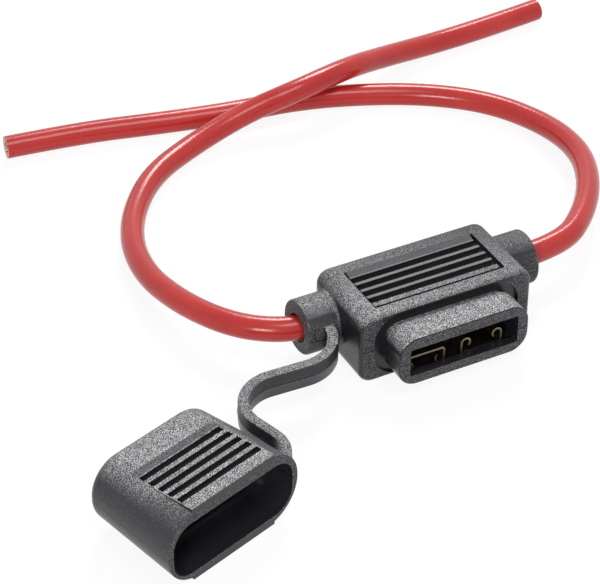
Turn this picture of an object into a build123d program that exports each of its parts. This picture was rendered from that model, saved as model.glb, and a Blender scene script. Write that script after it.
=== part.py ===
from build123d import *
from math import tan, radians
import os

os.makedirs("parts", exist_ok=True)

# Inline holder for one standard blade fuse, in millimetres. The origin is the centre of the
# housing's underside, +X runs along the wires, -Y out of the fuse mouth and +Z up.

# The blade fuse that the mouth is made for, and the room round it
fuse_width = 19.1
fuse_thickness = 5.1
mouth_side_room = 0.45
mouth_flat_room = 0.05

# Housing block
housing_length = 31.8
housing_width = 16.3
housing_height = 12.8
end_round = 2.4
back_round = 1.5
front_round = 0.9

# Ribbed grip panels, on the top and on the underside
panel_length = 24.2
panel_front_margin = 2.4
panel_back_margin = 3.2
panel_drop = 0.35
panel_ramp = 1.2
groove_count = 4
groove_pitch = 2.0
groove_width = 1.4
groove_depth = 0.75
groove_end_margin = 0.5
groove_back_margin = 0.3
side_channel = 0.45
last_rib = 1.0
front_step = 0.3
front_relief = 2.6

# Collar round the fuse mouth
collar_width = 24.0
collar_height = 9.0
collar_corner = 3.4
collar_depth = 5.7
waist_length = 0.8
waist_inset = 0.7
moat_margin = 1.4
moat_depth = 0.6
rim_round = 0.3
mouth_corner = 0.4
mouth_lip = 1.5

# Leads
wire_radius = 2.1
conductor_radius = 1.2
conductor_fit = 0.05
wire_fit = 0.05
wire_axis_from_back = 5.3

# Round boots that grip the leads
boot_radius = 4.7
boot_length = 5.8
boot_end_round = 0.5
boot_root_round = 0.6
boot_root_depth = 3.4
boot_mouth_room = 0.45
boot_mouth_depth = 1.5

# Terminals, pressed from brass sheet
sheet = 0.35
terminal_width = 7.8
terminal_wall_room = 0.3
terminal_tuck = 0.1
terminal_setback = 2.2
clasp_length = 6.5
clasp_bend_radius = 0.5
curl_radius = 0.8
curl_angle = 235
blade_gap = 0.65
blade_plane_height = 5.1
right_clasp_shift = 1.7
right_clasp_drop = 1.35
tail_width = 4.4
tail_arm_width = 2.2
crimp_radius = 1.75
crimp_length = 4.2
crimp_to_jacket = 0.8
crimp_fit = 0.03

# Pockets and passages for the terminals inside the housing
pocket_floor = 2.7
pocket_roof_wall = 3.8
pocket_corner = 1.2
pocket_length = 10.2
rib_thickness = 1.6
rib_length = 7.0
passage_floor = 3.9
passage_height = 3.1
tunnel_room = 0.5
jacket_seat_depth = 0.9

# Tether strap, which stands on its edge
strap_height = 4.1
strap_mid_thickness = 1.9
strap_edge_thickness = 1.7
strap_root_from_housing = 2.25
strap_root_embed = 1.9
strap_bend_embed = 0.85
root_bend_radius = 7.3
root_bend_angle = 92.7
root_knuckle_at = 40
long_run = 6.3
mid_bend_radius = 7.1
mid_bend_angle = 110
mid_knuckle_at = 55
short_run = 4.1
end_bend_radius = 6.0
end_bend_angle = 44
end_knuckle_at = 6
end_run = 3.0
knuckle_room = 0.3

# Cap, lying open on its underside, with a mouth that fits over the collar
cap_fit_width = 0.3
cap_fit_height = 0.3
cap_wall_side = 1.1
cap_wall_flat = 1.7
cap_taper_width = 2.8
cap_taper_height = 1.3
cap_rim_corner = 6.3
cap_end_corner = 5.6
cap_depth = 18.7
cap_end_round = 1.6
cap_end_wall = 1.9
cap_socket_depth = 6.3
fuse_room_side = 1.3
fuse_room_flat = 1.2
fuse_pocket_corner = 3.2
fuse_pocket_draft = 0.5
pad_length = 16.9
pad_reach = 12.8
pad_rise = 0.35
pad_sink = 0.35
pad_ramp = 1.0
cap_groove_count = 5
cap_groove_first = 2.9
cap_groove_pitch = 2.0
cap_groove_width = 1.15
cap_groove_depth = 0.8
cap_groove_end_margin = 0.2
cap_tab_room = 0.25
tab_inside_rim = 0.74
tab_behind_rim = 1.57
cap_turn = 18.6

# Places that follow from the sizes
part_line = housing_height / 2
front_y = -housing_width / 2
wire_axis_y = housing_width / 2 - wire_axis_from_back
mouth_width = fuse_width + 2 * mouth_side_room
mouth_height = fuse_thickness + 2 * mouth_flat_room
front_plane = Plane.XZ.offset(housing_width / 2)
collar_front_y = front_y - collar_depth
terminal_front_y = collar_front_y + terminal_setback
jacket_start = housing_length / 2 - jacket_seat_depth
crimp_end = jacket_start - crimp_to_jacket
crimp_start = crimp_end - crimp_length
boot_end = housing_length / 2 + boot_length
pocket_half_width = mouth_width / 2 + terminal_wall_room + terminal_tuck
terminal_x = pocket_half_width - terminal_wall_room - terminal_width / 2
clasp_x = {-1: -terminal_x, 1: terminal_x - right_clasp_shift}
rib_x = -right_clasp_shift / 2
pocket_back_y = collar_front_y + mouth_lip + pocket_length
tail_inner_x = terminal_x - tail_width / 2
clasp_wall_rise = blade_gap + sheet + curl_radius - clasp_bend_radius
cap_rim_width = collar_width + 2 * (cap_fit_width + cap_wall_side)
cap_rim_height = collar_height + 2 * (cap_fit_height + cap_wall_flat)
cap_end_width = cap_rim_width - cap_taper_width
cap_end_height = cap_rim_height - cap_taper_height
cap_middle = cap_rim_height / 2 + pad_rise

# The leads' routes, chosen by hand: out of the boot, down to the table and round to the cut end
left_route = [
    (-jacket_start, wire_axis_y, part_line),
    (-22.7, wire_axis_y, part_line),
    (-27.6, 5.6, 6.4),
    (-31.0, 9.4, 6.3),
    (-33.4, 14.2, 6.0),
    (-35.2, 20.6, 5.3),
    (-36.1, 29.5, 4.2),
    (-34.3, 40.0, 3.1),
    (-29.5, 50.2, 2.3),
    (-21.5, 59.6, 2.1),
    (-11.0, 65.0, 2.2),
    (1.5, 67.4, 4.4),
    (11.5, 65.8, 7.2),
    (23.5, 68.6, 7.2),
    (34.5, 73.4, 4.0),
    (46.0, 76.0, 2.1),
    (58.5, 76.6, 2.1),
    (71.0, 77.9, 2.1),
]
right_route = [
    (jacket_start, wire_axis_y, part_line),
    (29.3, wire_axis_y, part_line),
    (37.4, 9.0, 6.2),
    (44.3, 17.6, 5.5),
    (49.2, 28.0, 4.3),
    (49.9, 39.6, 3.0),
    (45.6, 51.6, 2.2),
    (37.4, 59.6, 2.1),
    (26.5, 65.6, 2.1),
    (13.5, 70.2, 2.1),
    (0.5, 71.6, 2.1),
    (-13.0, 74.6, 2.1),
    (-27.0, 78.3, 2.1),
    (-41.3, 80.1, 2.1),
]


def bend_radii(points):
    """Each corner's radius, as large as the two runs beside it allow."""
    places = [Vector(*point) for point in points]
    runs = [b - a for a, b in zip(places, places[1:])]
    radii = []
    for before, after in zip(runs, runs[1:]):
        half_turn = radians(before.get_angle(after)) / 2
        radii.append(0.45 * min(before.length, after.length) / tan(half_turn))
    return radii


def strap_sweep(edges):
    """Sweeps the strap's six-sided profile, drafted to both sides of its parting line, along edges."""
    start, heading = edges[0] @ 0, edges[0] % 0
    mid, edge, half = strap_mid_thickness / 2, strap_edge_thickness / 2, strap_height / 2
    with BuildSketch(Plane(origin=start, x_dir=heading.cross(Vector(0, 0, 1)), z_dir=heading)) as section:
        Polygon(
            (-edge, -half), (edge, -half), (mid, 0), (edge, half), (-edge, half), (-mid, 0),
            align=None,
        )
    sweep(sections=section.sketch, path=Wire(edges))


def knuckle(place, room=0.0, mode=Mode.ADD):
    """The round end where one stretch of the strap turns on the next."""
    with Locations(place):
        Cylinder(strap_edge_thickness / 2 + room, strap_height + 2 * room, mode=mode)


# The strap's centreline, from the left boot to the cap's side
with BuildLine(Plane.XY.offset(part_line)) as strap_line:
    root_x = -(housing_length / 2 + strap_root_from_housing)
    boot_front_y = wire_axis_y - boot_radius
    root_run = Line(
        (root_x, boot_front_y + strap_root_embed), (root_x, boot_front_y + strap_bend_embed)
    )
    root_bend = JernArc(root_run @ 1, root_run % 1, root_bend_radius, -root_knuckle_at)
    root_bend_rest = JernArc(
        root_bend @ 1, root_bend % 1, root_bend_radius, root_knuckle_at - root_bend_angle
    )
    long_stretch = Line(root_bend_rest @ 1, root_bend_rest @ 1 + (root_bend_rest % 1) * long_run)
    mid_bend = JernArc(long_stretch @ 1, long_stretch % 1, mid_bend_radius, mid_knuckle_at)
    mid_bend_rest = JernArc(
        mid_bend @ 1, mid_bend % 1, mid_bend_radius, mid_bend_angle - mid_knuckle_at
    )
    short_stretch = Line(mid_bend_rest @ 1, mid_bend_rest @ 1 + (mid_bend_rest % 1) * short_run)
    end_bend = JernArc(short_stretch @ 1, short_stretch % 1, end_bend_radius, -end_knuckle_at)
    end_bend_rest = JernArc(
        end_bend @ 1, end_bend % 1, end_bend_radius, end_knuckle_at - end_bend_angle
    )
    tab_stretch = Line(end_bend_rest @ 1, end_bend_rest @ 1 + (end_bend_rest % 1) * end_run)

root_hinge = root_bend @ 1
mid_hinge = mid_bend @ 1
end_hinge = end_bend @ 1

# Holder body: housing, boots, collar and the strap's root, one moulding
with BuildPart() as holder_body:
    with BuildSketch(front_plane):
        with Locations((0, part_line)):
            RectangleRounded(housing_length, housing_height, end_round)
    extrude(amount=-housing_width)
    fillet(holder_body.faces().sort_by(Axis.Y)[-1].edges(), radius=back_round)
    fillet(holder_body.faces().sort_by(Axis.Y)[0].edges(), radius=front_round)

    # Recessed grip panel on top: a ramp at the back, wide grooves with narrow ribs between them, a
    # broader last rib, and a channel down each side
    panel_back_y = housing_width / 2 - panel_back_margin
    panel_front_y = front_y + panel_front_margin
    panel_floor = housing_height - panel_drop
    with BuildSketch(Plane.YZ.offset(-panel_length / 2)):
        Polygon(
            (panel_back_y, housing_height),
            (panel_back_y - panel_ramp, panel_floor),
            (panel_front_y, panel_floor),
            (panel_front_y, housing_height),
            align=None,
        )
    extrude(amount=panel_length, mode=Mode.SUBTRACT)
    first_groove_y = panel_back_y - panel_ramp - groove_back_margin - groove_width / 2
    last_rib_front_y = first_groove_y - (groove_count - 1) * groove_pitch - groove_width / 2 - last_rib
    with BuildSketch(Plane.YZ.offset(-panel_length / 2)):
        for index in range(groove_count):
            with Locations((first_groove_y - index * groove_pitch, panel_floor)):
                Rectangle(groove_width, 2 * groove_depth)
        with Locations(((last_rib_front_y + panel_front_y) / 2, panel_floor)):
            Rectangle(last_rib_front_y - panel_front_y, 2 * front_step)
    extrude(amount=panel_length, mode=Mode.SUBTRACT)
    with BuildSketch(Plane.XY.offset(panel_floor - groove_depth)):
        for side in (-1, 1):
            with Locations((side * (panel_length - side_channel) / 2, (panel_back_y + panel_front_y) / 2)):
                Rectangle(side_channel, panel_back_y - panel_front_y)
    extrude(amount=panel_drop + groove_depth, mode=Mode.SUBTRACT)

    # Underside: the same grooves, with the ribs between them level with the rest face, and a
    # shallow relief along the front edge
    with BuildSketch(Plane.YZ.offset(-panel_length / 2)):
        with Locations((front_y + front_relief / 2, 0)):
            Rectangle(front_relief, 2 * panel_drop)
    extrude(amount=panel_length, mode=Mode.SUBTRACT)
    with BuildSketch(Plane.YZ.offset(-panel_length / 2 + groove_end_margin)):
        for index in range(groove_count):
            with Locations((((groove_count - 1) / 2 - index) * groove_pitch, 0)):
                Rectangle(groove_width, 2 * groove_depth)
    extrude(amount=panel_length - 2 * groove_end_margin, mode=Mode.SUBTRACT)

    # Boots, with a rounded root on the housing's ends
    for side in (-1, 1):
        with BuildSketch(Plane.YZ.offset(side * (housing_length / 2 - boot_root_depth))):
            with Locations((wire_axis_y, part_line)):
                Circle(boot_radius)
        extrude(amount=side * (boot_length + boot_root_depth))
        for where, size in (("tip", boot_end_round), ("root", boot_root_round)):
            boot_sides = holder_body.faces().filter_by(GeomType.CYLINDER).group_by(SortBy.RADIUS)[-1]
            boot_side = boot_sides.sort_by(Axis.X)[-1 if side > 0 else 0]
            boot_edges = boot_side.edges().filter_by(GeomType.LINE, reverse=True)
            boot_tip = boot_edges.group_by(Axis.X)[-1 if side > 0 else 0]
            boot_root = [edge for edge in boot_edges if edge not in boot_tip]
            fillet(boot_tip if where == "tip" else boot_root, radius=size)

    # Collar: a shallow moat in the front face, a waist and the flange that the cap goes over
    with BuildSketch(front_plane):
        with Locations((0, part_line)):
            RectangleRounded(
                collar_width + 2 * moat_margin,
                collar_height + 2 * moat_margin,
                collar_corner + moat_margin,
            )
    extrude(amount=-moat_depth, mode=Mode.SUBTRACT)
    with BuildSketch(front_plane.offset(-moat_depth)):
        with Locations((0, part_line)):
            RectangleRounded(
                collar_width - 2 * waist_inset,
                collar_height - 2 * waist_inset,
                collar_corner - waist_inset,
            )
    extrude(amount=moat_depth + waist_length)
    with BuildSketch(front_plane.offset(waist_length)):
        with Locations((0, part_line)):
            RectangleRounded(collar_width, collar_height, collar_corner)
    extrude(amount=collar_depth - waist_length)
    fillet(holder_body.faces().sort_by(Axis.Y)[0].edges(), radius=rim_round)

    # Strap root on the left boot
    strap_sweep([root_run, root_bend])
    knuckle(root_hinge)

    # Fuse mouth, and the deeper pocket behind its lip
    with BuildSketch(front_plane.offset(collar_depth)):
        with Locations((0, part_line)):
            RectangleRounded(mouth_width, mouth_height, mouth_corner)
    extrude(amount=-mouth_lip, mode=Mode.SUBTRACT)
    pocket_height = housing_height - pocket_roof_wall - pocket_floor
    pocket_middle = pocket_floor + pocket_height / 2
    with BuildSketch(front_plane.offset(collar_depth - mouth_lip)):
        with Locations((0, pocket_middle)):
            RectangleRounded(2 * pocket_half_width, pocket_height, pocket_corner)
    extrude(amount=-pocket_length, mode=Mode.SUBTRACT)

    # Rib between the two terminals
    with BuildSketch(Plane.XZ.offset(-pocket_back_y)):
        with Locations((rib_x, pocket_middle)):
            Rectangle(rib_thickness, pocket_height)
    extrude(amount=rib_length)

    # Passages for the tails, tunnels for the crimps, and the boots' bores
    for side in (-1, 1):
        with BuildSketch(Plane.XY.offset(passage_floor)):
            with Locations((side * terminal_x, (pocket_back_y + wire_axis_y) / 2)):
                Rectangle(tail_width + 2 * tunnel_room, wire_axis_y - pocket_back_y)
            arm_reach = jacket_start - tail_inner_x + tunnel_room
            with Locations((side * (jacket_start - arm_reach / 2), wire_axis_y - tail_arm_width / 2)):
                Rectangle(arm_reach, tail_arm_width + 2 * tunnel_room)
        extrude(amount=passage_height, mode=Mode.SUBTRACT)
        with BuildSketch(Plane.YZ.offset(side * (tail_inner_x - tunnel_room))):
            with Locations((wire_axis_y, part_line)):
                Circle(crimp_radius + tunnel_room)
        extrude(amount=side * arm_reach, mode=Mode.SUBTRACT)
        with BuildSketch(Plane.YZ.offset(side * jacket_start)):
            with Locations((wire_axis_y, part_line)):
                Circle(wire_radius + wire_fit)
        extrude(amount=side * (boot_end - jacket_start), mode=Mode.SUBTRACT)
        with BuildSketch(Plane.YZ.offset(side * boot_end)):
            with Locations((wire_axis_y, part_line)):
                Circle(wire_radius + boot_mouth_room)
        extrude(amount=-side * boot_mouth_depth, mode=Mode.SUBTRACT)
holder_body.part.label = "holder_body"
export_step(holder_body.part, "parts/holder_body.step")

# Two stretches of the strap, each turning on a round knuckle
with BuildPart() as strap_inner:
    strap_sweep([root_bend_rest, long_stretch, mid_bend])
    knuckle(root_hinge, knuckle_room, Mode.SUBTRACT)
    knuckle(mid_hinge)
strap_inner.part.label = "strap_inner"
export_step(strap_inner.part, "parts/strap_inner.step")

with BuildPart() as strap_outer:
    strap_sweep([mid_bend_rest, short_stretch, end_bend])
    knuckle(mid_hinge, knuckle_room, Mode.SUBTRACT)
    knuckle(end_hinge)
strap_outer.part.label = "strap_outer"
export_step(strap_outer.part, "parts/strap_outer.step")

# Cap: its rim's plane faces out of its mouth, with local X along the cap's width. It lies where
# the strap's end meets its side, just behind the rim
mouth_direction = Vector(0, -1, 0).rotate(Axis.Z, cap_turn)
width_direction = Vector(1, 0, 0).rotate(Axis.Z, cap_turn)
tab_end = tab_stretch @ 1
tab_foot = Vector(tab_end.X, tab_end.Y, 0)
rim_side = tab_foot + width_direction * tab_inside_rim + mouth_direction * tab_behind_rim
rim_centre = rim_side - width_direction * (cap_rim_width / 2)
rim_plane = Plane(origin=rim_centre, x_dir=width_direction, z_dir=mouth_direction)
end_plane = rim_plane.offset(-cap_depth)
side_plane = Plane(
    origin=rim_centre - width_direction * (pad_length / 2),
    x_dir=-mouth_direction,
    z_dir=width_direction,
)


def cap_outside(room=0.0):
    """The cap's tapered outer form, grown by room on every side."""
    with BuildSketch(rim_plane) as rim:
        with Locations((0, cap_middle)):
            RectangleRounded(cap_rim_width + 2 * room, cap_rim_height + 2 * room, cap_rim_corner + room)
    with BuildSketch(end_plane) as end:
        with Locations((0, cap_middle)):
            RectangleRounded(cap_end_width + 2 * room, cap_end_height + 2 * room, cap_end_corner + room)
    loft(sections=[rim.sketch, end.sketch])


with BuildPart() as cap:
    cap_outside()
    closed_face = cap.faces().sort_by(Axis(rim_plane.origin, mouth_direction))[0]
    fillet(closed_face.edges(), radius=cap_end_round)

    # Grip pads, above and below: each stands proud at the rim and runs under the surface at its
    # far end, where a ramp leads down to it, and has grooves across it
    fall = (cap_rim_height - cap_end_height) / 2 * pad_reach / cap_depth
    pad_slope = (pad_rise + fall + pad_sink) / (pad_reach - pad_ramp)
    for up in (1, -1):
        rim_surface = cap_middle + up * cap_rim_height / 2
        pad_top = rim_surface + up * pad_rise
        pad_foot = pad_top - up * pad_slope * (pad_reach - pad_ramp)
        with BuildSketch(side_plane):
            Polygon(
                (0, pad_top),
                (pad_reach - pad_ramp, pad_foot),
                (pad_reach, rim_surface - up * fall),
                (pad_reach, pad_top),
                align=None,
            )
        extrude(amount=pad_length, mode=Mode.SUBTRACT)
        with BuildSketch(side_plane):
            Polygon(
                (0, pad_top),
                (pad_reach - pad_ramp, pad_foot),
                (pad_reach - pad_ramp, pad_foot - up * pad_rise),
                (0, rim_surface - up * pad_rise),
                align=None,
            )
        extrude(amount=pad_length)
        with BuildSketch(side_plane.offset(cap_groove_end_margin)):
            for index in range(cap_groove_count):
                groove_reach = cap_groove_first + index * cap_groove_pitch
                with Locations((groove_reach, pad_top - up * pad_slope * groove_reach)):
                    Rectangle(cap_groove_width, 2 * cap_groove_depth)
        extrude(amount=pad_length - 2 * cap_groove_end_margin, mode=Mode.SUBTRACT)

    # Socket that goes over the collar, and the narrower pocket for the fuse's back
    with BuildSketch(rim_plane):
        with Locations((0, part_line)):
            RectangleRounded(
                collar_width + 2 * cap_fit_width,
                collar_height + 2 * cap_fit_height,
                collar_corner + cap_fit_width,
            )
    extrude(amount=-cap_socket_depth, mode=Mode.SUBTRACT)
    pocket_width = fuse_width + 2 * fuse_room_side
    fuse_pocket_height = fuse_thickness + 2 * fuse_room_flat
    with BuildSketch(rim_plane.offset(-cap_socket_depth)):
        with Locations((0, part_line)):
            RectangleRounded(pocket_width, fuse_pocket_height, fuse_pocket_corner)
    with BuildSketch(end_plane.offset(cap_end_wall)):
        with Locations((0, part_line)):
            RectangleRounded(
                pocket_width - 2 * fuse_pocket_draft,
                fuse_pocket_height - 2 * fuse_pocket_draft,
                fuse_pocket_corner - fuse_pocket_draft,
            )
    loft(mode=Mode.SUBTRACT)
cap.part.label = "cap"
export_step(cap.part, "parts/cap.step")

# The strap's last stretch, a tab that lies against the cap's side
with BuildPart() as cap_envelope:
    cap_outside(cap_tab_room)

with BuildPart() as strap_tab:
    strap_sweep([end_bend_rest, tab_stretch])
    knuckle(end_hinge, knuckle_room, Mode.SUBTRACT)
    add(cap_envelope.part, mode=Mode.SUBTRACT)
strap_tab.part.label = "strap_tab"
export_step(strap_tab.part, "parts/strap_tab.step")


def clasp_profile(up):
    """The clasp seen from the front: a flat base, two walls and a curl at the top of each."""
    half_base = terminal_width / 2 - sheet / 2 - clasp_bend_radius
    wall = half_base + clasp_bend_radius
    with BuildLine() as profile:
        Line((-half_base, 0), (half_base, 0))
        for hand in (-1, 1):
            bend = JernArc((hand * half_base, 0), (hand, 0), clasp_bend_radius, 90 * hand * up)
            rise = Line(bend @ 1, (wall * hand, up * (clasp_bend_radius + clasp_wall_rise)))
            JernArc(rise @ 1, rise % 1, curl_radius, curl_angle * hand * up)
    return profile.line


# Terminals: a clasp for the fuse's blade, a flat tail and arm, and a crimp. The left one lies
# on its back.
for side, name in ((-1, "terminal_left"), (1, "terminal_right")):
    base_height = blade_plane_height - side * (blade_gap + sheet) / 2
    clasp_height = base_height - (right_clasp_drop if side > 0 else 0)
    with BuildPart() as terminal:
        clasp_plane = Plane(
            origin=(clasp_x[side], terminal_front_y, clasp_height), x_dir=(1, 0, 0), z_dir=(0, -1, 0)
        )
        with BuildSketch(clasp_plane):
            trace(clasp_profile(side), line_width=sheet)
        extrude(amount=-clasp_length)
        tail_front_y = terminal_front_y + clasp_length - sheet
        with BuildSketch(Plane.XY.offset(base_height - sheet / 2)):
            with Locations((side * terminal_x, (tail_front_y + wire_axis_y) / 2)):
                Rectangle(tail_width, wire_axis_y - tail_front_y)
            arm_length = crimp_end - tail_inner_x
            with Locations((side * (crimp_end - arm_length / 2), wire_axis_y - tail_arm_width / 2)):
                Rectangle(arm_length, tail_arm_width)
        extrude(amount=sheet)
        riser_middle = (clasp_height + base_height) / 2
        with Locations((side * terminal_x, tail_front_y + sheet / 2, riser_middle)):
            Box(tail_width, sheet, base_height - clasp_height + sheet)
        with BuildSketch(Plane.YZ.offset(side * crimp_start)):
            with Locations((wire_axis_y, part_line)):
                Circle(crimp_radius)
        extrude(amount=side * crimp_length)
        with BuildSketch(Plane.YZ.offset(side * tail_inner_x)):
            with Locations((wire_axis_y, part_line)):
                Circle(conductor_radius + crimp_fit)
        extrude(amount=side * arm_length, mode=Mode.SUBTRACT)
    terminal.part.label = name
    export_step(terminal.part, f"parts/{name}.step")

# Leads and their conductors, swept along the same routes
for name, route in (("left", left_route), ("right", right_route)):
    radii = bend_radii(route)
    with BuildLine() as jacket_line:
        FilletPolyline(*route, radius=radii)
    with BuildPart() as lead:
        with BuildSketch(Plane(origin=jacket_line.line @ 0, z_dir=jacket_line.line % 0)) as ring:
            Circle(wire_radius)
            Circle(conductor_radius + conductor_fit, mode=Mode.SUBTRACT)
        sweep(path=jacket_line.wires()[0])
    lead.part.label = f"{name}_lead"
    export_step(lead.part, f"parts/{name}_lead.step")

    crimped_start = (crimp_start if name == "right" else -crimp_start, wire_axis_y, part_line)
    with BuildLine() as core_line:
        FilletPolyline(crimped_start, *route[1:], radius=radii)
    with BuildPart() as conductor:
        with BuildSketch(Plane(origin=core_line.line @ 0, z_dir=core_line.line % 0)):
            Circle(conductor_radius)
        sweep(path=core_line.wires()[0])
    conductor.part.label = f"{name}_conductor"
    export_step(conductor.part, f"parts/{name}_conductor.step")

    length = jacket_line.wires()[0].length
    print(name, "lead radii", [round(radius, 1) for radius in radii])
    print(name, "lead length", round(length, 1))
    print(name, "volume over section times length", lead.part.volume / (ring.sketch.area * length))
print("hinges", root_hinge, mid_hinge, end_hinge)
print("cap's rim", rim_centre, "opening towards", mouth_direction)
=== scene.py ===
import bpy, bmesh
from math import sin, cos, radians, pi
from mathutils import Vector, Matrix


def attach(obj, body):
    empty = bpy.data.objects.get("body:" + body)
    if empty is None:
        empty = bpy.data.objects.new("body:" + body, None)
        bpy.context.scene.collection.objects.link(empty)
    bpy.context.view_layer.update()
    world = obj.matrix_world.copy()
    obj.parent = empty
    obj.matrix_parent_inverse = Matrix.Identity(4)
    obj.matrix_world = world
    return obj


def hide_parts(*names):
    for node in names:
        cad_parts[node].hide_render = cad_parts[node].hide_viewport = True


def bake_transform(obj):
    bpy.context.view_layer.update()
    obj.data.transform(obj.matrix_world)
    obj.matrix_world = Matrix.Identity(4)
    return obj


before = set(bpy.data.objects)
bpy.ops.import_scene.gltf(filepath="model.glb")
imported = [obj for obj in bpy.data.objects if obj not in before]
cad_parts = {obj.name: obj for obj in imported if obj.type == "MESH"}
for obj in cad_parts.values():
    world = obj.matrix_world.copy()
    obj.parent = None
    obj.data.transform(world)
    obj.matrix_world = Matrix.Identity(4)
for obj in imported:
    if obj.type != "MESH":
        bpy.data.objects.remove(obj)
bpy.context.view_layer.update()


# Where the photographer stood: above the front left of the holder, with a long lens, so that the
# cap is nearest and both wires run away towards the top of the picture.
MM = 0.001
view_azimuth = radians(-27.689)
view_elevation = radians(36.779)
view_roll = radians(0.148)
view_distance = 416.2 * MM
view_target = Vector((-12.786, 18.80, 0.0)) * MM
lens_mm = 147.18

towards_camera = Vector((sin(view_azimuth) * cos(view_elevation),
                         -cos(view_azimuth) * cos(view_elevation),
                         sin(view_elevation)))
level_right = (-towards_camera).cross(Vector((0, 0, 1))).normalized()
level_up = level_right.cross(-towards_camera)
camera_right = level_right * cos(view_roll) + level_up * sin(view_roll)
camera_up = level_up * cos(view_roll) - level_right * sin(view_roll)
camera_data = bpy.data.cameras.new("camera")
camera_data.lens = lens_mm
camera_data.sensor_width = 36
camera_data.sensor_fit = "HORIZONTAL"
camera_data.clip_start = 0.01
camera = bpy.data.objects.new("camera", camera_data)
bpy.context.collection.objects.link(camera)
camera_turn = Matrix((camera_right, camera_up, towards_camera)).transposed().to_4x4()
camera.matrix_world = Matrix.Translation(view_target + towards_camera * view_distance) @ camera_turn
bpy.context.scene.camera = camera
bpy.context.scene.view_settings.view_transform = "Standard"


# The studio: a pale table that the camera sees as plain white, a lamp high at the back right that
# skims the tops, and two dimmer ones, one overhead and one at the front left.
lamp_aim = Vector((-0.01, 0.01, 0))
sky_colour, sky_strength = (0.95, 0.97, 1.0, 1), 0.24
table_half = 1.6
table_drop = 0.02 * MM
table_grey = (0.82, 0.82, 0.82, 1)
table_own_white, table_lit_grey = 0.895, (0.13, 0.13, 0.13, 1)


def area_lamp(name, place, size, power):
    lamp = bpy.data.lights.new(name, "AREA")
    lamp.shape = "RECTANGLE"
    lamp.size, lamp.size_y = size
    lamp.energy = power
    lamp_object = bpy.data.objects.new(name, lamp)
    bpy.context.collection.objects.link(lamp_object)
    lamp_object.location = place
    lamp_object.rotation_euler = (Vector(place) - lamp_aim).to_track_quat("Z", "Y").to_euler()


area_lamp("lamp_back_right", (0.34, 0.52, 0.62), (0.28, 0.28), 4.2)
area_lamp("lamp_overhead", (0.05, -0.30, 0.80), (0.40, 0.30), 2.2)
area_lamp("lamp_front_left", (-0.50, -0.52, 0.34), (0.20, 0.16), 2.2)


def seen_directly(nodes, links):
    """One where a ray comes from the camera or off a shiny surface, and nought where it lights."""
    paths = nodes.new("ShaderNodeLightPath")
    camera_or_glossy = nodes.new("ShaderNodeMath")
    camera_or_glossy.operation = "MAXIMUM"
    links.new(paths.outputs["Is Camera Ray"], camera_or_glossy.inputs[0])
    links.new(paths.outputs["Is Glossy Ray"], camera_or_glossy.inputs[1])
    any_of_three = nodes.new("ShaderNodeMath")
    any_of_three.operation = "MAXIMUM"
    links.new(camera_or_glossy.outputs[0], any_of_three.inputs[0])
    links.new(paths.outputs["Is Transmission Ray"], any_of_three.inputs[1])
    return any_of_three.outputs[0]


world = bpy.data.worlds.new("studio")
bpy.context.scene.world = world
world.use_nodes = True
world_nodes, world_links = world.node_tree.nodes, world.node_tree.links
world_nodes.clear()
world_out = world_nodes.new("ShaderNodeOutputWorld")
world_mix = world_nodes.new("ShaderNodeMixShader")
world_light = world_nodes.new("ShaderNodeBackground")
world_light.inputs["Color"].default_value = sky_colour
world_light.inputs["Strength"].default_value = sky_strength
world_white = world_nodes.new("ShaderNodeBackground")
world_white.inputs["Color"].default_value = (1, 1, 1, 1)
world_white.inputs["Strength"].default_value = 1.0
world_links.new(seen_directly(world_nodes, world_links), world_mix.inputs[0])
world_links.new(world_light.outputs[0], world_mix.inputs[1])
world_links.new(world_white.outputs[0], world_mix.inputs[2])
world_links.new(world_mix.outputs[0], world_out.inputs["Surface"])

table_corners = [(-table_half, -table_half, 0), (table_half, -table_half, 0),
                 (table_half, table_half, 0), (-table_half, table_half, 0)]
table_mesh = bpy.data.meshes.new("table")
table_mesh.from_pydata(table_corners, [], [(0, 1, 2, 3)])
table = bpy.data.objects.new("table", table_mesh)
bpy.context.collection.objects.link(table)
table.location.z = -table_drop
table_paint = bpy.data.materials.new("white_table")
table_paint.use_nodes = True
table_nodes, table_links = table_paint.node_tree.nodes, table_paint.node_tree.links
table_nodes.clear()
table_out = table_nodes.new("ShaderNodeOutputMaterial")
table_mix = table_nodes.new("ShaderNodeMixShader")
# Light bounces off a grey table. The camera sees one whose own white and lit grey add up to plain
# white where nothing shades it, so that the object's shadow stays
table_matt = table_nodes.new("ShaderNodeBsdfDiffuse")
table_matt.inputs["Color"].default_value = table_grey
table_white = table_nodes.new("ShaderNodeEmission")
table_white.inputs["Color"].default_value = (1, 1, 1, 1)
table_white.inputs["Strength"].default_value = table_own_white
table_both = table_nodes.new("ShaderNodeAddShader")
table_dim = table_nodes.new("ShaderNodeBsdfDiffuse")
table_dim.inputs["Color"].default_value = table_lit_grey
table_links.new(table_white.outputs[0], table_both.inputs[0])
table_links.new(table_dim.outputs[0], table_both.inputs[1])
table_links.new(seen_directly(table_nodes, table_links), table_mix.inputs[0])
table_links.new(table_matt.outputs[0], table_mix.inputs[1])
table_links.new(table_both.outputs[0], table_mix.inputs[2])
table_links.new(table_mix.outputs[0], table_out.inputs["Surface"])
table_mesh.materials.append(table_paint)


# The leads: flexible 12 gauge wire with glossy red insulation, 4.2 mm outside, gripped in the
# boots. They bend back onto the table, and the left one crosses over the right behind the housing.
wire_radius = 2.1 * MM
wire_dark, wire_pale = (0.43, 0.008, 0.009, 1), (0.62, 0.045, 0.038, 1)
wire_rough, wire_shine = 0.22, 0.42
# How many cells to the metre the colour's clouds and the skin's faint dents have
wire_cloud_cells, wire_dent_cells = 90, 1300
wire_dent_depth, wire_dent_strength = 0.06 * MM, 0.3
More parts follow.
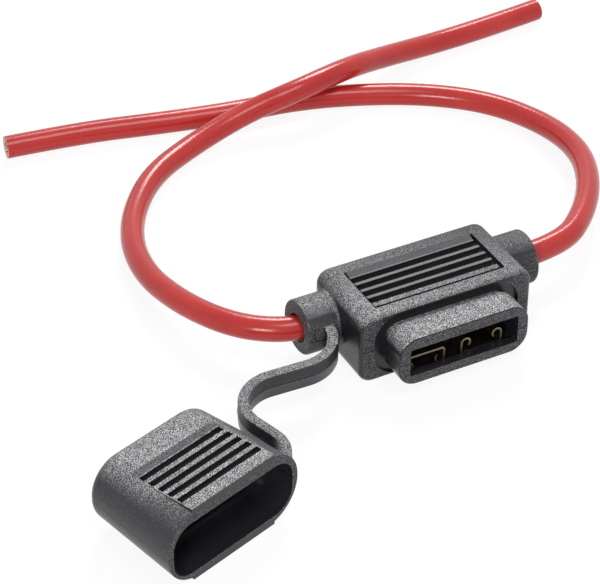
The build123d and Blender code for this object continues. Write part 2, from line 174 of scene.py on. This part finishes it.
# The middle of each lead, in millimetres, from inside its boot to its cut end
left_route = [
    (-20.2, 2.85, 6.4), (-22.7, 2.85, 6.4), (-27.6, 5.6, 6.4), (-31.0, 9.4, 6.3),
    (-33.4, 14.2, 6.0), (-35.2, 20.6, 5.3), (-36.1, 29.5, 4.2), (-34.3, 40.0, 3.1),
    (-29.5, 50.2, 2.3), (-21.5, 59.6, 2.1), (-11.0, 65.0, 2.2), (1.5, 67.4, 4.4),
    (11.5, 65.8, 7.2), (23.5, 68.6, 7.2), (34.5, 73.4, 4.0), (46.0, 76.0, 2.1),
    (58.5, 76.6, 2.1), (71.0, 77.9, 2.1),
]
right_route = [
    (20.2, 2.85, 6.4), (29.3, 2.85, 6.4), (37.4, 9.0, 6.2), (44.3, 17.6, 5.5),
    (49.2, 28.0, 4.3), (49.9, 39.6, 3.0), (45.6, 51.6, 2.2), (37.4, 59.6, 2.1),
    (26.5, 65.6, 2.1), (13.5, 70.2, 2.1), (0.5, 71.6, 2.1), (-13.0, 74.6, 2.1),
    (-27.0, 78.3, 2.1), (-41.3, 80.1, 2.1),
]


def insulation_material():
    paint = bpy.data.materials.new("red_insulation")
    paint.use_nodes = True
    nodes, links = paint.node_tree.nodes, paint.node_tree.links
    shader = nodes["Principled BSDF"]
    shader.inputs["Roughness"].default_value = wire_rough
    shader.inputs["Specular IOR Level"].default_value = wire_shine
    place = nodes.new("ShaderNodeTexCoord")
    cloud = nodes.new("ShaderNodeTexNoise")
    cloud.inputs["Scale"].default_value = wire_cloud_cells
    cloud.inputs["Detail"].default_value = 3
    tone = nodes.new("ShaderNodeMix")
    tone.data_type = "RGBA"
    tone.inputs["A"].default_value = wire_dark
    tone.inputs["B"].default_value = wire_pale
    links.new(place.outputs["Object"], cloud.inputs["Vector"])
    links.new(cloud.outputs["Fac"], tone.inputs["Factor"])
    links.new(tone.outputs["Result"], shader.inputs["Base Color"])
    skin = nodes.new("ShaderNodeTexNoise")
    skin.inputs["Scale"].default_value = wire_dent_cells
    skin.inputs["Detail"].default_value = 1
    dents = nodes.new("ShaderNodeBump")
    dents.inputs["Strength"].default_value = wire_dent_strength
    dents.inputs["Distance"].default_value = wire_dent_depth
    links.new(place.outputs["Object"], skin.inputs["Vector"])
    links.new(skin.outputs["Fac"], dents.inputs["Height"])
    links.new(dents.outputs["Normal"], shader.inputs["Normal"])
    return paint


red_insulation = insulation_material()


def lead(name, route):
    curve = bpy.data.curves.new(name, "CURVE")
    curve.dimensions = "3D"
    line = curve.splines.new("NURBS")
    line.points.add(len(route) - 1)
    for point, place in zip(line.points, route):
        point.co = (place[0] * MM, place[1] * MM, place[2] * MM, 1)
    line.order_u = 3
    line.use_endpoint_u = True
    line.resolution_u = 12
    curve.bevel_depth = wire_radius
    curve.bevel_resolution = 8
    curve.use_fill_caps = True
    piece = bpy.data.objects.new(name, curve)
    bpy.context.collection.objects.link(piece)
    curve.materials.append(red_insulation)
    return piece


left_lead = lead("lead_left", left_route)
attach(left_lead, "holder")
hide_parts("left_lead")
right_lead = lead("lead_right", right_route)
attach(right_lead, "holder")
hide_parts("right_lead")


# The cut end of each lead shows its stranded copper core: nineteen strands laid round each other,
# sheared flush with the insulation and standing a hair proud of it.
strand_radius = 0.235 * MM
strand_sides = 10
# In millimetres: how deep a strand starts, how far it stands out, and its cut edge's bevel
strand_depth = 1.2
strand_proud, strand_uneven = 0.12, 0.05
strand_bevel, strand_tip = 0.04, 0.8
smear_cells = 2600
copper_dark, copper_bright = (0.16, 0.09, 0.06, 1), (0.78, 0.60, 0.48, 1)
copper_shiny, copper_rough = 0.28, 0.55
strand_places = [(0.0, 0.0)]
for ring_count, ring_radius in ((6, 0.47), (12, 0.92)):
    for index in range(ring_count):
        turn = 2 * pi * index / ring_count + ring_radius
        strand_places.append((ring_radius * MM * cos(turn), ring_radius * MM * sin(turn)))


def copper_material():
    paint = bpy.data.materials.new("cut_copper")
    paint.use_nodes = True
    nodes, links = paint.node_tree.nodes, paint.node_tree.links
    shader = nodes["Principled BSDF"]
    shader.inputs["Metallic"].default_value = 1
    place = nodes.new("ShaderNodeTexCoord")
    smears = nodes.new("ShaderNodeTexNoise")
    smears.inputs["Scale"].default_value = smear_cells
    smears.inputs["Detail"].default_value = 2
    links.new(place.outputs["Object"], smears.inputs["Vector"])
    tone = nodes.new("ShaderNodeValToRGB")
    tone.color_ramp.elements[0].position = 0.38
    tone.color_ramp.elements[0].color = copper_dark
    tone.color_ramp.elements[1].position = 0.6
    tone.color_ramp.elements[1].color = copper_bright
    links.new(smears.outputs["Fac"], tone.inputs["Fac"])
    links.new(tone.outputs["Color"], shader.inputs["Base Color"])
    dull = nodes.new("ShaderNodeMapRange")
    dull.inputs["To Min"].default_value = copper_shiny
    dull.inputs["To Max"].default_value = copper_rough
    links.new(smears.outputs["Fac"], dull.inputs["Value"])
    links.new(dull.outputs["Result"], shader.inputs["Roughness"])
    return paint


cut_copper = copper_material()


def strand_bundle(name, end, before_end):
    """The strands in a lead's cut end, whose own cut faces stand a little unevenly out of it."""
    outward = (Vector(end) - Vector(before_end)).normalized()
    across = outward.cross(Vector((0, 0, 1))).normalized()
    above = across.cross(outward)
    bundle = bmesh.new()
    for right, up in strand_places:
        rings = []
        lift = strand_proud + strand_uneven * sin(9000 * right + 5000 * up)
        for along, size in ((-strand_depth, 1.0), (lift - strand_bevel, 1.0), (lift, strand_tip)):
            rings.append([])
            for step in range(strand_sides):
                turn = 2 * pi * step / strand_sides
                rings[-1].append(bundle.verts.new(
                    Vector(end) * MM + outward * along * MM
                    + across * (right + size * strand_radius * cos(turn))
                    + above * (up + size * strand_radius * sin(turn))))
        for lower, upper in zip(rings, rings[1:]):
            for step in range(strand_sides):
                following = (step + 1) % strand_sides
                bundle.faces.new((lower[step], lower[following], upper[following], upper[step]))
        bundle.faces.new(rings[-1])
        bundle.faces.new(list(reversed(rings[0])))
    bmesh.ops.recalc_face_normals(bundle, faces=bundle.faces)
    mesh = bpy.data.meshes.new(name)
    bundle.to_mesh(mesh)
    bundle.free()
    mesh.materials.append(cut_copper)
    piece = bpy.data.objects.new(name, mesh)
    bpy.context.collection.objects.link(piece)
    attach(piece, "holder")


strand_bundle("strands_left", left_route[-1], left_route[-2])
strand_bundle("strands_right", right_route[-1], right_route[-2])
for node_name in ("left_conductor", "right_conductor"):
    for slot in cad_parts[node_name].material_slots:
        slot.material = cut_copper


# The housing is one soft black rubber moulding. Its tops and undersides are spark textured and
# catch the light in specks, and the crests of their texture carry a painted highlight. Its front
# faces are fine matt, and its ends, grooves and sockets are polished.
part_line = 6.4
# Each pair says where a finish starts and where it is full. These are in millimetres from the
# housing's middle, sideways or backwards
panel_sides = (12.2, 12.05)
panel_back, panel_front = (5.05, 4.85), (-3.9, -3.7)
pocket_sides, pocket_mouth, pocket_back = (10.6, 10.4), (-13.2, -13.0), (-1.8, -2.0)
moat_front, moat_back = (-8.1, -8.0), (-7.0, -7.2)
collar_start, rim_corner, front_half = (-8.2, -8.4), (-13.5, -13.6), (0.5, -0.5)
boot_start, boot_end = (15.9, 16.6), (21.5, 21.65)
# These are in millimetres above the table
pocket_floor, pocket_roof = (2.5, 2.6), (9.2, 9.1)
# These are in millimetres from the parting line, upwards and downwards alike
groove_floor, groove_brink = (5.1, 5.2), (6.0, 5.94)
# These are how squarely a face looks up or down, or forwards
flat_enough, boot_flat_highlight = (0.3, 0.75), (0.72, 0.98)
facing_forward, corner_begins, corner_ends = (0.7, 0.9), (0.1, 0.25), (0.92, 0.8)
# This is below nought where a face looks in towards the housing's long axis
looking_inward = (-0.05, -0.4)
# The painted highlight on the texture's crests grows forwards and to the left, each by its share
highlight_forwards, highlight_forward_share = (8.0, -6.0), 0.45
highlight_leftwards, highlight_leftward_share = (10.0, -20.0), 0.35
# How much smoother than the rest of the top the grip panel is, and how much of the painted
# highlight its crests lose
panel_smoothing, panel_highlight_loss = 0.6, 0.9
# The painted highlight on the collar's crests
collar_highlight = 0.95
# The moulding's colours, from its pits to its crests. The palest crest colour is a painted
# highlight
pit_black = (0.008, 0.0075, 0.009)
dim_crest, highlight_crest = (0.12, 0.117, 0.126), (0.80, 0.795, 0.805)
matt_pit, matt_crest = (0.014, 0.013, 0.016), (0.220, 0.214, 0.228)
polished_dark, polished_pale = (0.014, 0.013, 0.016), (0.026, 0.024, 0.030)
# The parting line's dark, also used for the painted shade on the collar's rim edge
line_black = (0.006, 0.006, 0.007)
# How many cells to the metre the grain, the polish's clouds and the grain's blotches have
grain_cells, cloud_cells, blotch_cells = 6600, 110, 1000
blotch_edge, blotch_dim, blotch_bright = (0.40, 0.60), 0.72, 1.08
# Where the grain's crests begin and are full in the texture, on the matt faces, and in their shine
texture_crests, matt_crests, crest_shine = (0.46, 0.59), (0.50, 0.64), (0.4, 0.65)
pit_rough, dim_crest_rough, pale_crest_rough = 0.66, 0.54, 0.29
matt_rough, polished_rough, cloudy_rough = 0.62, 0.20, 0.34
grain_depth, grain_strength = 0.10 * MM, 0.85
# The height of the matt grain, the clouds and the parting line's groove, as parts of the texture's
matt_height, cloud_height, line_depth = 0.6, 0.25, 0.8
# The parting line fades out this far from its middle, and lies only on faces upright enough for it
line_fade, upright_enough = (0.14, 0.07), (0.8, 0.5)
moulding_shine = 0.42
grain_turn = (0.6, 0.4, 0.3)


class Paint:
    """A material for the black moulding, with the masks that say where each finish lies."""

    def __init__(self, name):
        self.material = bpy.data.materials.new(name)
        self.material.use_nodes = True
        self.nodes, self.links = self.material.node_tree.nodes, self.material.node_tree.links
        self.shader = self.nodes["Principled BSDF"]
        self.coordinates = self.nodes.new("ShaderNodeTexCoord")
        self.place = self.coordinates.outputs["Object"]
        self.facing = self.coordinates.outputs["Normal"]
        # The grain is turned, so that no flat face lies along its cells
        self.turned = self.nodes.new("ShaderNodeMapping")
        self.turned.inputs["Rotation"].default_value = grain_turn
        self.links.new(self.place, self.turned.inputs["Vector"])

    def millimetres(self, direction):
        """How far a point lies from the frame's origin in a direction."""
        return self.dot(self.place, tuple(part / MM for part in direction))

    def faces(self, direction):
        """How squarely a face looks in a direction."""
        return self.dot(self.facing, direction)

    def math(self, operation, *values):
        node = self.nodes.new("ShaderNodeMath")
        node.operation = operation
        for socket, value in zip(node.inputs, values):
            if isinstance(value, (int, float)):
                socket.default_value = value
            else:
                self.links.new(value, socket)
        return node.outputs[0]

    def dot(self, vector, direction):
        node = self.nodes.new("ShaderNodeVectorMath")
        node.operation = "DOT_PRODUCT"
        self.links.new(vector, node.inputs[0])
        node.inputs[1].default_value = direction
        return node.outputs["Value"]

    def over(self, value, low, high):
        """Nought where value is below low, one where it is above high."""
        node = self.nodes.new("ShaderNodeMapRange")
        self.links.new(value, node.inputs["Value"])
        node.inputs["From Min"].default_value = low
        node.inputs["From Max"].default_value = high
        return node.outputs["Result"]

    def between(self, value, start, end):
        """One from start to end, and nought outside them."""
        return self.both(self.over(value, *start), self.over(value, *end))

    def both(self, first, second):
        return self.math("MULTIPLY", first, second)

    def either(self, first, second):
        return self.math("MAXIMUM", first, second)

    def opposite(self, mask):
        """One where the mask is nought, and nought where it is one."""
        return self.math("SUBTRACT", 1.0, mask)

    def unsigned(self, value):
        return self.math("ABSOLUTE", value)

    def noise(self, scale, detail):
        node = self.nodes.new("ShaderNodeTexNoise")
        node.inputs["Scale"].default_value = scale
        node.inputs["Detail"].default_value = detail
        self.links.new(self.turned.outputs["Vector"], node.inputs["Vector"])
        return node.outputs["Fac"]

    def mix(self, factor, first, second):
        node = self.nodes.new("ShaderNodeMix")
        node.data_type = "RGBA"
        self.links.new(factor, node.inputs["Factor"])
        for name, value in (("A", first), ("B", second)):
            if isinstance(value, tuple):
                node.inputs[name].default_value = value + (1,)
            else:
                self.links.new(value, node.inputs[name])
        return node.outputs["Result"]

    def blend_value(self, factor, first, second):
        """A number that goes from first to second with factor."""
        node = self.nodes.new("ShaderNodeMix")
        node.data_type = "FLOAT"
        self.links.new(factor, node.inputs["Factor"])
        for name, value in (("A", first), ("B", second)):
            if isinstance(value, (int, float)):
                node.inputs[name].default_value = value
            else:
                self.links.new(value, node.inputs[name])
        return node.outputs["Result"]

    def finish(self, sparkle, matt, line, crest_highlight):
        """Lays the textured, matt and polished finishes and the parting line where their masks are;
        the line mask also carries painted edge shade. The texture's crests carry a painted
        highlight where its mask is one."""
        specks = self.noise(grain_cells, 2)
        shade = self.noise(cloud_cells, 3)
        # Random blotches break up the painted highlight on the crests
        blotches = self.over(self.noise(blotch_cells, 2), *blotch_edge)
        crest_highlight = self.both(crest_highlight, self.blend_value(blotches, blotch_dim, blotch_bright))
        crests = self.mix(crest_highlight, dim_crest, highlight_crest)
        textured = self.mix(self.over(specks, *texture_crests), pit_black, crests)
        velvet = self.mix(self.over(specks, *matt_crests), matt_pit, matt_crest)
        polished = self.mix(shade, polished_dark, polished_pale)
        colour = self.mix(matt, polished, velvet)
        colour = self.mix(sparkle, colour, textured)
        colour = self.mix(line, colour, line_black)
        self.links.new(colour, self.shader.inputs["Base Color"])
        self.shader.inputs["Specular IOR Level"].default_value = moulding_shine
        crest_rough = self.blend_value(crest_highlight, dim_crest_rough, pale_crest_rough)
        textured_rough = self.blend_value(self.over(specks, *crest_shine), pit_rough, crest_rough)
        rough = self.blend_value(matt, self.blend_value(shade, polished_rough, cloudy_rough),
                                 matt_rough)
        rough = self.blend_value(sparkle, rough, textured_rough)
        self.links.new(rough, self.shader.inputs["Roughness"])
        smooth_height = self.blend_value(matt, self.math("MULTIPLY", shade, cloud_height),
                                         self.math("MULTIPLY", specks, matt_height))
        height = self.blend_value(sparkle, smooth_height, specks)
        height = self.math("SUBTRACT", height, self.math("MULTIPLY", line, line_depth))
        dents = self.nodes.new("ShaderNodeBump")
        dents.inputs["Distance"].default_value = grain_depth
        dents.inputs["Strength"].default_value = grain_strength
        self.links.new(height, dents.inputs["Height"])
        self.links.new(dents.outputs["Normal"], self.shader.inputs["Normal"])
        return self.material


def parting_line(paint, height):
    """The thin line where the two halves of the mould met, on the upright faces."""
    away = paint.unsigned(paint.math("SUBTRACT", paint.millimetres((0, 0, 1)), height))
    upright = paint.over(paint.unsigned(paint.faces((0, 0, 1))), *upright_enough)
    return paint.both(paint.over(away, *line_fade), upright)


def housing_material():
    paint = Paint("housing_moulding")
    across, along, high = (paint.millimetres(axis) for axis in ((1, 0, 0), (0, 1, 0), (0, 0, 1)))
    sideways = paint.unsigned(across)
    from_line = paint.unsigned(paint.math("SUBTRACT", high, part_line))
    flat = paint.unsigned(paint.faces((0, 0, 1)))
    # The faces of the mouth, the pocket and the moat look inwards to the housing's long axis
    inward = paint.math("ADD", paint.both(across, paint.faces((1, 0, 0))),
                        paint.both(paint.math("SUBTRACT", high, part_line), paint.faces((0, 0, 1))))
    inside = paint.both(paint.over(inward, *looking_inward), paint.over(along, *front_half))
    pocket = paint.both(paint.over(sideways, *pocket_sides),
                        paint.between(along, pocket_mouth, pocket_back))
    pocket = paint.both(pocket, paint.between(high, pocket_floor, pocket_roof))
    grooved = paint.both(paint.over(sideways, *panel_sides),
                         paint.between(from_line, groove_floor, groove_brink))
    outside = paint.opposite(paint.either(paint.either(inside, pocket), grooved))
    # Round the boots the texture lies only along their tops and undersides, partly the moulding's
    # finish and partly a painted highlight along their tops, and the ramp and the ribs of the grip
    # panel are smoother than the rest of the top
    textured = paint.blend_value(paint.over(sideways, *boot_start), paint.over(flat, *flat_enough),
                                 paint.over(flat, *boot_flat_highlight))
    panel = paint.both(paint.over(sideways, *panel_sides),
                       paint.between(along, panel_back, panel_front))
    textured = paint.both(textured, paint.opposite(paint.math("MULTIPLY", panel, panel_smoothing)))
    sparkle = paint.both(textured, outside)
    # The painted highlight on the crests is strongest on the collar, and weak on the grip panel
    # The painted highlight grows forwards and to the left
    forwards = paint.math("MULTIPLY", paint.over(along, *highlight_forwards), highlight_forward_share)
    leftwards = paint.math("MULTIPLY", paint.over(across, *highlight_leftwards), highlight_leftward_share)
    crest_highlight = paint.math("ADD", forwards, leftwards)
    crest_highlight = paint.both(crest_highlight, paint.opposite(paint.math("MULTIPLY", panel, panel_highlight_loss)))
    crest_highlight = paint.blend_value(paint.over(along, *collar_start), crest_highlight, collar_highlight)
    # The front faces outside the moat are fine matt, and so is the end face of each boot
    forward = paint.faces((0, -1, 0))
    front = paint.both(paint.over(forward, *facing_forward),
                       paint.opposite(paint.between(along, moat_front, moat_back)))
    matt = paint.both(paint.either(front, paint.over(sideways, *boot_end)), outside)
    # A crisp dark edge runs round the collar where its top meets the matt rim: painted shade
    rim_edge_shade = paint.both(paint.over(along, *rim_corner),
                          paint.between(forward, corner_begins, corner_ends))
    line = paint.either(parting_line(paint, part_line), rim_edge_shade)
    return paint.finish(sparkle, matt, line, crest_highlight)


housing_moulding = housing_material()
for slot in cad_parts["holder_body"].material_slots:
    slot.material = housing_moulding


# The cap is a tapered cup of the same rubber, moulded in one with the strap. It is textured
# outside, with a painted highlight on the texture's crests, matt on its rim and polished in its
# socket and its grip grooves.
cap_mouth_direction = (0.318959, -0.947768, 0.0)
cap_width_direction = (0.947768, 0.318959, 0.0)
cap_rim_centre = (-51.1952, -33.7994, 0.0)
cap_middle = 6.85
# The faces of the grip pads lie this far above and below the cap's middle at the rim, and come
# nearer to it with every millimetre behind the rim
pad_height, pad_slope = 6.85, 0.0970
# Again each pair says where a finish starts and is full. These are in millimetres behind the rim
socket_floor = (0.5, 0.8)
groove_back = (11.9, 11.8)
ramp_front, ramp_back = (11.6, 11.8), (12.9, 12.75)
# These are in millimetres to either side of the cap's middle
groove_ends, ramp_ends = (8.5, 8.4), (8.6, 8.4)
# These are in millimetres under the face of a grip pad
groove_top, groove_bottom, pad_skin = (0.12, 0.2), (1.2, 1.1), (0.6, 0.05)
# This is below nought where a face looks in towards the cap's middle
cap_inward = (-0.05, -0.3)
# These are how squarely a face looks out of the mouth, along the cap either way, and up or down
cap_forward, cap_end_faces, cap_flat = (0.75, 0.9), (0.7, 0.9), (0.6, 1.0)
# How much smoother the ramps are, how matt the sides are, and how strong the painted highlight on
# the grip pads' skin is
ramp_smoothing, side_mattness, pad_highlight = 0.75, 0.22, 0.85
# The crests carry a painted highlight that grows away from the rim and to the left, and painted
# shade keeps it off the left side
cap_highlight_backwards, cap_highlight_to_left, cap_left_side_shade = (-4.0, 12.0), (14.0, -6.0), (-14.0, -8.5)


def cap_material():
    paint = Paint("cap_moulding")
    rim_offset = sum(a * b for a, b in zip(cap_rim_centre, cap_mouth_direction))
    side_offset = sum(a * b for a, b in zip(cap_rim_centre, cap_width_direction))
    behind = paint.math("SUBTRACT", rim_offset, paint.millimetres(cap_mouth_direction))
    aside = paint.math("SUBTRACT", paint.millimetres(cap_width_direction), side_offset)
    high = paint.math("SUBTRACT", paint.millimetres((0, 0, 1)), cap_middle)
    sideways = paint.unsigned(aside)
    flat, forward = paint.faces((0, 0, 1)), paint.faces(cap_mouth_direction)
    inward = paint.math("ADD", paint.both(aside, paint.faces(cap_width_direction)),
                        paint.both(high, flat))
    inside = paint.either(paint.over(inward, *cap_inward),
                          paint.both(paint.over(forward, *cap_forward),
                                     paint.over(behind, *socket_floor)))
    # How far a point lies under the sloping face of the grip pad, above or below
    pad_face = paint.math("SUBTRACT", pad_height, paint.math("MULTIPLY", behind, pad_slope))
    under = paint.math("SUBTRACT", pad_face, paint.unsigned(high))
    grooved = paint.both(paint.between(under, groove_top, groove_bottom),
                         paint.both(paint.over(sideways, *groove_ends),
                                    paint.over(behind, *groove_back)))
    outside = paint.opposite(paint.either(inside, grooved))
    # The ramp at the far end of each grip pad is smoother than the pad
    ramp = paint.both(paint.between(behind, ramp_front, ramp_back),
                      paint.over(sideways, *ramp_ends))
    sparkle = paint.both(paint.over(paint.unsigned(flat), *cap_flat), outside)
    sparkle = paint.both(sparkle, paint.opposite(paint.math("MULTIPLY", ramp, ramp_smoothing)))
    end_faces = paint.over(paint.unsigned(forward), *cap_end_faces)
    matt = paint.both(paint.blend_value(end_faces, side_mattness, 1.0), outside)
    crest_highlight = paint.both(paint.over(behind, *cap_highlight_backwards), paint.over(aside, *cap_highlight_to_left))
    crest_highlight = paint.both(crest_highlight, paint.over(aside, *cap_left_side_shade))
    # The grip pads' skin takes a strong painted highlight
    crest_highlight = paint.blend_value(paint.over(under, *pad_skin), crest_highlight, pad_highlight)
    return paint.finish(sparkle, matt, parting_line(paint, cap_middle), crest_highlight)


cap_moulding = cap_material()
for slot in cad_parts["cap"].material_slots:
    slot.material = cap_moulding


# The tether is a flexible strap moulded with the housing and the cap. It stands on edge, tapers to
# both sides of its parting line, and bends at three places as the cap is carried to the mouth.
strap_half_height = 2.07
strap_half_edge = 0.89
strap_half_middle = 0.95
strap_corner = 0.22
strap_bulge = 0.3 * strap_corner
seam_half_width, seam_foot, seam_crest = 0.06, 0.02, 0.03
# Where the strap's top is textured, how matt its sides are, and the painted highlight on its crests
strap_flat, strap_side_mattness, strap_crest_highlight = (0.3, 0.7), 0.15, 0.55
strap_start = (-18.15, 0.05)
# Each run is a line's length, or an arc's radius and its turn in degrees
strap_runs = [
    ("line", 1.05), ("arc", 7.3, -92.7), ("line", 6.3), ("arc", 7.1, 110.0), ("line", 4.1),
    ("arc", 6.0, -44.0), ("line", 3.6),
]
strap_step = 0.35
strap_crease = radians(40)
# The foot ends this far from the cap's middle, inside its wall
cap_wall_inside = 12.62


def strap_stations():
    """Centre points and headings along the strap, with the length run so far."""
    x, y, heading, run = strap_start[0], strap_start[1], radians(270), 0.0
    stations = [(run, x, y, heading)]
    for kind, size, *turned in strap_runs:
        if kind == "line":
            length, turn = size, 0.0
        else:
            turn = radians(turned[0])
            length = size * abs(turn)
        count = max(1, round(length / strap_step))
        for _ in range(count):
            step, step_turn = length / count, turn / count
            middle = heading + step_turn / 2
            chord = step if turn == 0 else 2 * size * sin(abs(step_turn) / 2)
            x, y = x + chord * cos(middle), y + chord * sin(middle)
            heading, run = heading + step_turn, run + step
            stations.append((run, x, y, heading))
    return stations


def strap_outline():
    """The strap's section, with rounded corners and a fine seam, as offsets to the side and up."""
    edge, middle, half = strap_half_edge, strap_half_middle, strap_half_height
    upper = [(middle - seam_foot, seam_half_width), (edge, half - strap_corner),
             (edge - strap_bulge, half - strap_bulge), (edge - strap_corner, half)]
    lower = [(side, -up) for side, up in reversed(upper)]
    right = lower + [(middle + seam_crest, 0.0)] + upper
    return right + [(-side, up) for side, up in reversed(right)]


strap_line = strap_stations()


def nearest_station(wanted):
    """Which station lies nearest to a length run along the strap."""
    away = [abs(run - wanted) for run, x, y, heading in strap_line]
    return away.index(min(away))


def strap_piece(name, first, last, meets_cap=False):
    outline = strap_outline()
    body = bmesh.new()
    rings = []
    for run, x, y, heading in strap_line[nearest_station(first):nearest_station(last) + 1]:
        rings.append([])
        for side, up in outline:
            rings[-1].append(body.verts.new(((x + side * sin(heading)) * MM,
                                             (y - side * cos(heading)) * MM,
                                             (part_line + up) * MM)))
    if meets_cap:
        # The foot goes straight on in four steps, and its last ring lies in the cap's wall
        ahead = Vector((cos(heading), sin(heading), 0))
        sideways = Vector(cap_width_direction)
        for steps in (4, 3, 2, 1):
            rings.append([])
            for corner in rings[-2]:
                reach = corner.co - Vector(cap_rim_centre) * MM
                left_to_go = (reach.dot(sideways) - cap_wall_inside * MM) / -ahead.dot(sideways)
                rings[-1].append(body.verts.new(corner.co + ahead * left_to_go / steps))
    for before, after in zip(rings, rings[1:]):
        for index in range(len(outline)):
            following = (index + 1) % len(outline)
            face = body.faces.new((before[index], before[following],
                                   after[following], after[index]))
            face.smooth = True
    body.faces.new(rings[-1])
    body.faces.new(list(reversed(rings[0])))
    bmesh.ops.recalc_face_normals(body, faces=body.faces)
    mesh = bpy.data.meshes.new(name)
    body.to_mesh(mesh)
    body.free()
    mesh.set_sharp_from_angle(angle=strap_crease)
    mesh.materials.append(strap_moulding)
    piece = bpy.data.objects.new(name, mesh)
    bpy.context.collection.objects.link(piece)
    return piece


def strap_material():
    paint = Paint("strap_moulding")
    sparkle = paint.over(paint.unsigned(paint.faces((0, 0, 1))), *strap_flat)
    matt = paint.math("MULTIPLY", paint.opposite(sparkle), strap_side_mattness)
    return paint.finish(sparkle, matt, parting_line(paint, part_line), strap_crest_highlight)


strap_moulding = strap_material()


strap_root = strap_piece("strap_at_housing", 0.0, 16.0)
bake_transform(strap_root)
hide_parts("strap_inner")
strap_middle = strap_piece("strap_in_middle", 16.0, 35.0)
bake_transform(strap_middle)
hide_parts("strap_outer")
strap_hook = strap_piece("strap_at_cap", 35.0, 39.4)
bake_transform(strap_hook)
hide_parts("strap_tab")
strap_foot = strap_piece("strap_foot", 39.4, 42.6, meets_cap=True)
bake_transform(strap_foot)


# The terminals are stamped from brass sheet and crimped on the wires inside the housing. Their
# faces are painted dark as shade, and only the sheared edges that face the mouth are painted bright
# as a highlight.
shaded_brass_dark, shaded_brass_pale = (0.030, 0.025, 0.014), (0.08, 0.065, 0.035)
lit_edge_dark, lit_edge_pale = (0.26, 0.22, 0.13), (0.46, 0.40, 0.26)
lit_edge_facing = (0.8, 0.95)
stain_cells = 900
clean_rough, stained_rough = 0.32, 0.55


def brass_material():
    paint = Paint("terminal_brass")
    # Faces that look out of the mouth take the painted highlight, and all other faces the painted
    # shade
    forward = paint.over(paint.faces((0, -1, 0)), *lit_edge_facing)
    stains = paint.noise(stain_cells, 3)
    faces = paint.mix(stains, shaded_brass_dark, shaded_brass_pale)
    lit_edges = paint.mix(stains, lit_edge_dark, lit_edge_pale)
    paint.links.new(paint.mix(forward, faces, lit_edges), paint.shader.inputs["Base Color"])
    paint.links.new(paint.blend_value(stains, clean_rough, stained_rough),
                    paint.shader.inputs["Roughness"])
    paint.shader.inputs["Metallic"].default_value = 0.9
    return paint.material


terminal_brass = brass_material()
for node_name in ("terminal_left", "terminal_right"):
    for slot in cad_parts[node_name].material_slots:
        slot.material = terminal_brass
